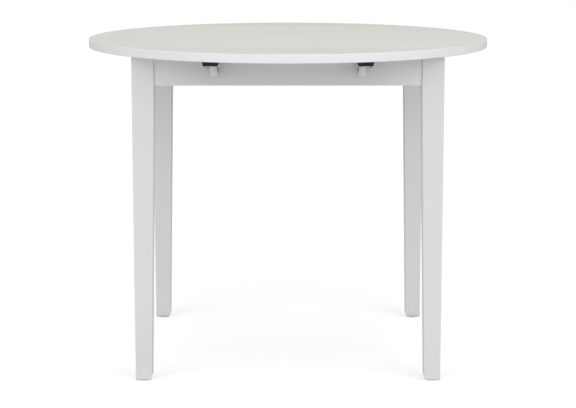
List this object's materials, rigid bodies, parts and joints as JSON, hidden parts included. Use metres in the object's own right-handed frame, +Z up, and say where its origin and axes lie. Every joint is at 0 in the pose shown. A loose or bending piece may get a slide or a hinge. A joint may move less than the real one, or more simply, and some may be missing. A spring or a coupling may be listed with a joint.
{
  "type": "drop-leaf table",
  "caption": "Round white drop-leaf table on tapered square legs; two side leaves fold down on self-locking flap hinges with sprung release tabs.",
  "frame": {"origin": "on the floor at the middle of the table", "axes": "+Z up; X along the two seams of the top, with +X to the right seen from the front; -Y towards the front leaf"},
  "size_m": [0.9138, 0.9138, 0.736],
  "materials": {
    "top_white": "satin white melamine board face with a very fine pearl texture",
    "edge_white": "satin cool white plastic edge band",
    "frame_white": "satin white lacquer on solid wood",
    "black_steel": "black stamped steel, semi-gloss",
    "brown_steel": "dull yellow passivated steel",
    "zinc_steel": "bright zinc plated steel",
    "beech_dowel": "raw fluted beech",
    "nylon_glide": "off-white nylon"
  },
  "bodies": {
    "table_frame": {"centre_board": "top_white", "centre_board_band": "edge_white", "leg_front_left": "frame_white", "leg_front_right": "frame_white", "leg_rear_left": "frame_white", "leg_rear_right": "frame_white", "apron_front": "frame_white", "apron_rear": "frame_white", "apron_left": "frame_white", "apron_right": "frame_white", "corner_plate_front_left": "zinc_steel", "corner_plate_front_right": "zinc_steel", "corner_plate_rear_left": "zinc_steel", "corner_plate_rear_right": "zinc_steel", "glide_front_left": "nylon_glide", "glide_front_right": "nylon_glide", "glide_rear_left": "nylon_glide", "glide_rear_right": "nylon_glide", "hanger_bolts": "zinc_steel", "bolt_washers": "zinc_steel", "wing_nuts": "zinc_steel", "corner_plate_screws": "zinc_steel", "apron_dowels": "beech_dowel", "top_fixing_brackets": "zinc_steel", "top_fixing_screws": "zinc_steel", "hinge_bracket_front_left": "brown_steel", "hinge_bracket_front_right": "brown_steel", "hinge_bracket_rear_left": "brown_steel", "hinge_bracket_rear_right": "brown_steel", "hinge_pin_front_left": "zinc_steel", "hinge_pin_front_right": "zinc_steel", "hinge_pin_rear_left": "zinc_steel", "hinge_pin_rear_right": "zinc_steel", "lever_pin_front_left": "zinc_steel", "lever_pin_front_right": "zinc_steel", "lever_pin_rear_left": "zinc_steel", "lever_pin_rear_right": "zinc_steel", "hinge_bracket_screws": "zinc_steel"},
    "front_flap": {"front_leaf": "top_white", "front_leaf_band": "edge_white", "hinge_wing_front_left": "black_steel", "hinge_wing_front_right": "black_steel", "front_leaf_screws": "zinc_steel"},
    "rear_flap": {"rear_leaf": "top_white", "rear_leaf_band": "edge_white", "hinge_wing_rear_left": "black_steel", "hinge_wing_rear_right": "black_steel", "rear_leaf_screws": "zinc_steel"},
    "lever_front_left": {"release_lever_front_left": "zinc_steel", "lever_spring_front_left": "zinc_steel"},
    "lever_front_right": {"release_lever_front_right": "zinc_steel", "lever_spring_front_right": "zinc_steel"},
    "lever_rear_left": {"release_lever_rear_left": "zinc_steel", "lever_spring_rear_left": "zinc_steel"},
    "lever_rear_right": {"release_lever_rear_right": "zinc_steel", "lever_spring_rear_right": "zinc_steel"}
  },
  "joints": [
    {"name": "front_leaf_fold", "type": "hinge", "parent": "table_frame", "child": "front_flap", "pos_m": [0, -0.3, 0.708], "axis": [1, 0, 0], "range_deg": [0, 90]},
    {"name": "rear_leaf_fold", "type": "hinge", "parent": "table_frame", "child": "rear_flap", "pos_m": [0, 0.3, 0.708], "axis": [-1, 0, 0], "range_deg": [0, 90]},
    {"name": "front_left_release", "type": "hinge", "parent": "table_frame", "child": "lever_front_left", "pos_m": [-0.16183, -0.274, 0.701], "axis": [1, 0, 0], "range_deg": [0, 9], "stiffness_Nm_per_rad": 0.1, "springref_deg": -8.59},
    {"name": "front_right_release", "type": "hinge", "parent": "table_frame", "child": "lever_front_right", "pos_m": [0.16183, -0.274, 0.701], "axis": [1, 0, 0], "range_deg": [0, 9], "stiffness_Nm_per_rad": 0.1, "springref_deg": -8.59},
    {"name": "rear_left_release", "type": "hinge", "parent": "table_frame", "child": "lever_rear_left", "pos_m": [-0.16183, 0.274, 0.701], "axis": [-1, 0, 0], "range_deg": [0, 9], "stiffness_Nm_per_rad": 0.1, "springref_deg": -8.59},
    {"name": "rear_right_release", "type": "hinge", "parent": "table_frame", "child": "lever_rear_right", "pos_m": [0.16183, 0.274, 0.701], "axis": [-1, 0, 0], "range_deg": [0, 9], "stiffness_Nm_per_rad": 0.1, "springref_deg": -8.59}
  ]
}
